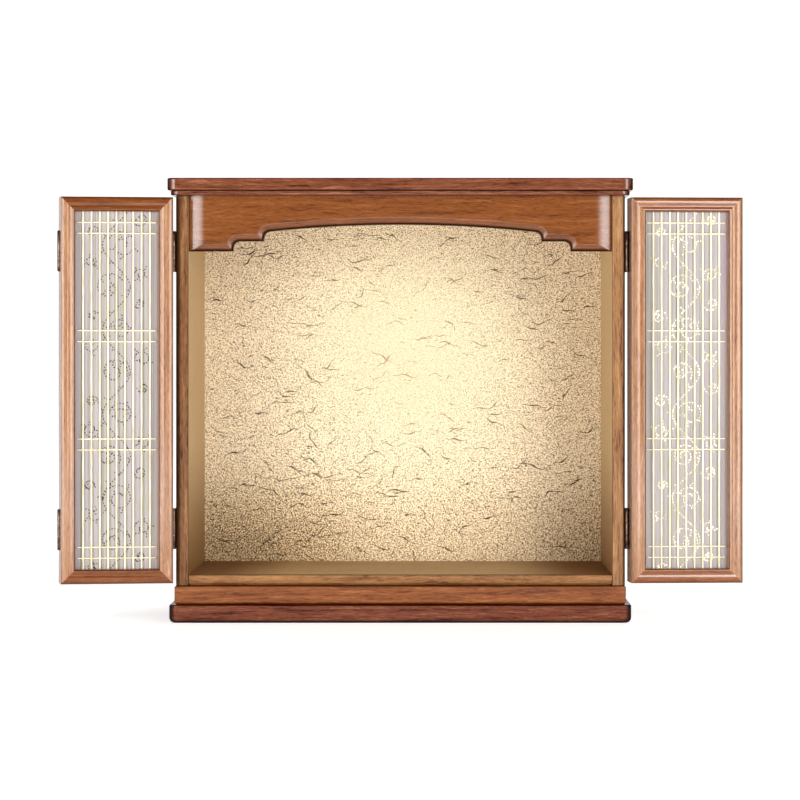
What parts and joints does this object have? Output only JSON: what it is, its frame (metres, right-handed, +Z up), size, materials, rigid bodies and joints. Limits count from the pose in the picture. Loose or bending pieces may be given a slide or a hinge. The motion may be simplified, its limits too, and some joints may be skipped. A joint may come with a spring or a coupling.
{
  "type": "household altar cabinet",
  "caption": "Table-top household altar cabinet in dark stained wood: an open case with a gold back, a stepped and arched header, and folding lattice doors.",
  "frame": {"origin": "middle of the base plate's underside, on the table", "axes": "+X to the viewer's right along the front, +Y to the back, +Z up"},
  "size_m": [0.7489, 0.3276, 0.485],
  "materials": {
    "dark_walnut": "dark reddish brown stain under satin varnish",
    "walnut": "reddish brown stain with straight grain, satin varnish",
    "inner_wood": "reddish brown stain, glossy varnish",
    "gold_lining": "matt gold paper with long fibres and a fine crumpled grain",
    "slats": "pale varnish",
    "gauze": "pale grey gauze with a scrolling vine pattern in metallic thread",
    "bronze": "dark bronze plating, polished on the knuckles"
  },
  "bodies": {
    "cabinet": {"base_plate": "dark_walnut", "base_board": "walnut", "sill_rail": "walnut", "floor_board": "inner_wood", "side_left": "walnut", "side_right": "walnut", "ceiling_board": "inner_wood", "back_panel": "inner_wood", "back_lining": "gold_lining", "header_board": "walnut", "top_moulding": "dark_walnut", "top_plate": "dark_walnut", "left_case_hinge_upper_fixed": "bronze", "left_case_hinge_lower_fixed": "bronze", "right_case_hinge_upper_fixed": "bronze", "right_case_hinge_lower_fixed": "bronze"},
    "left_side_leaf": {"left_side_leaf_stile_hinge": "walnut", "left_side_leaf_stile_fold": "walnut", "left_side_leaf_rail_bottom": "walnut", "left_side_leaf_rail_top": "walnut", "left_side_leaf_lattice": "slats", "left_side_leaf_pane": "gauze", "left_case_hinge_upper_moving": "bronze", "left_fold_hinge_upper_side": "bronze", "left_case_hinge_lower_moving": "bronze", "left_fold_hinge_lower_side": "bronze"},
    "left_centre_leaf": {"left_centre_leaf_stile_fold": "walnut", "left_centre_leaf_stile_meeting": "walnut", "left_centre_leaf_rail_bottom": "walnut", "left_centre_leaf_rail_top": "walnut", "left_centre_leaf_lattice": "slats", "left_centre_leaf_pane": "gauze", "left_fold_hinge_upper_centre": "bronze", "left_fold_hinge_lower_centre": "bronze"},
    "right_side_leaf": {"right_side_leaf_stile_hinge": "walnut", "right_side_leaf_stile_fold": "walnut", "right_side_leaf_rail_bottom": "walnut", "right_side_leaf_rail_top": "walnut", "right_side_leaf_lattice": "slats", "right_side_leaf_pane": "gauze", "right_case_hinge_upper_moving": "bronze", "right_fold_hinge_upper_side": "bronze", "right_case_hinge_lower_moving": "bronze", "right_fold_hinge_lower_side": "bronze"},
    "right_centre_leaf": {"right_centre_leaf_stile_fold": "walnut", "right_centre_leaf_stile_meeting": "walnut", "right_centre_leaf_rail_bottom": "walnut", "right_centre_leaf_rail_top": "walnut", "right_centre_leaf_lattice": "slats", "right_centre_leaf_pane": "gauze", "right_fold_hinge_upper_centre": "bronze", "right_fold_hinge_lower_centre": "bronze"}
  },
  "joints": [
    {"name": "left_swing", "type": "hinge", "parent": "cabinet", "child": "left_side_leaf", "pos_m": [-0.24825, -0.1315, 0], "axis": [0, 0, 1], "range_deg": [0, 170.7]},
    {"name": "left_fold", "type": "hinge", "parent": "left_side_leaf", "child": "left_centre_leaf", "pos_m": [-0.37133, -0.15338, 0], "axis": [0, 0, 1], "range_deg": [-180, 0]},
    {"name": "right_swing", "type": "hinge", "parent": "cabinet", "child": "right_side_leaf", "pos_m": [0.24825, -0.1315, 0], "axis": [0, 0, 1], "range_deg": [-184.5, 0]},
    {"name": "right_fold", "type": "hinge", "parent": "right_side_leaf", "child": "right_centre_leaf", "pos_m": [0.373, -0.12339, 0], "axis": [0, 0, 1], "range_deg": [0, 180]}
  ],
  "couplings": [
    {"joint": "left_fold", "follows": "left_swing", "ratio": -1.0544},
    {"joint": "right_fold", "follows": "right_swing", "ratio": -0.9756}
  ]
}
